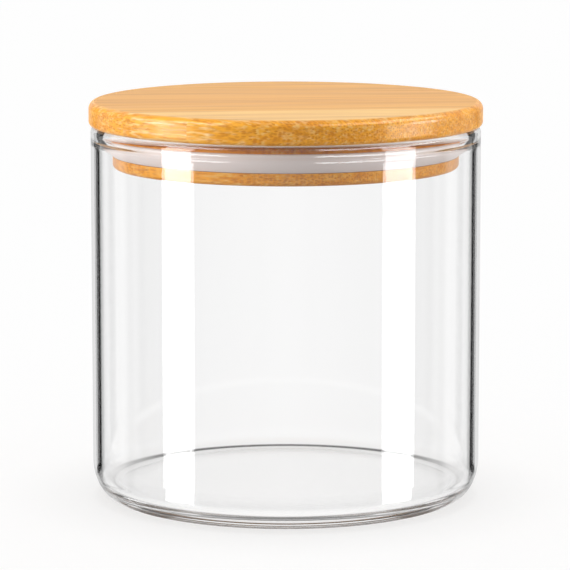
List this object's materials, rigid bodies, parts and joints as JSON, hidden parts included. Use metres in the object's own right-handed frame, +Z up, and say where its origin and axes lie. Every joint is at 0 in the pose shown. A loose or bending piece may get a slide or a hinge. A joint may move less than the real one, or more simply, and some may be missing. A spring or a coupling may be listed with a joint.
{
  "type": "glass storage jar",
  "caption": "Round clear glass storage jar with a flat bamboo push-in lid and a flared silicone seal; the lid lifts off and turns.",
  "frame": {"origin": "centre of the underside of the glass, on the surface that the jar stands on", "axes": "+Z up along the jar's axis; the front of the picture is towards -Y; the bamboo's grain runs 6.5 degrees off +X"},
  "size_m": [0.101, 0.101, 0.1024],
  "materials": {
    "glass": "clear, polished",
    "silicone": "translucent white, satin",
    "bamboo_disc": "sanded and lightly oiled",
    "bamboo_plug": "sanded"
  },
  "bodies": {
    "jar": {"glass_jar": "glass"},
    "seal": {"silicone_seal": "silicone"},
    "lid": {"disc_strip_1": "bamboo_disc", "disc_strip_2": "bamboo_disc", "disc_strip_3": "bamboo_disc", "disc_strip_4": "bamboo_disc", "disc_strip_5": "bamboo_disc", "disc_strip_6": "bamboo_disc", "disc_strip_7": "bamboo_disc", "plug_strip_1": "bamboo_plug", "plug_strip_2": "bamboo_plug", "plug_strip_3": "bamboo_plug", "plug_strip_4": "bamboo_plug", "plug_strip_5": "bamboo_plug", "plug_strip_6": "bamboo_plug"}
  },
  "joints": [
    {"name": "lid_lift", "type": "slide", "parent": "jar", "child": "seal", "axis": [0, 0, 1], "range_m": [0, 0.08]},
    {"name": "lid_turn", "type": "hinge", "parent": "seal", "child": "lid", "pos_m": [0, 0, 0.0961], "axis": [0, 0, 1], "continuous": true}
  ]
}
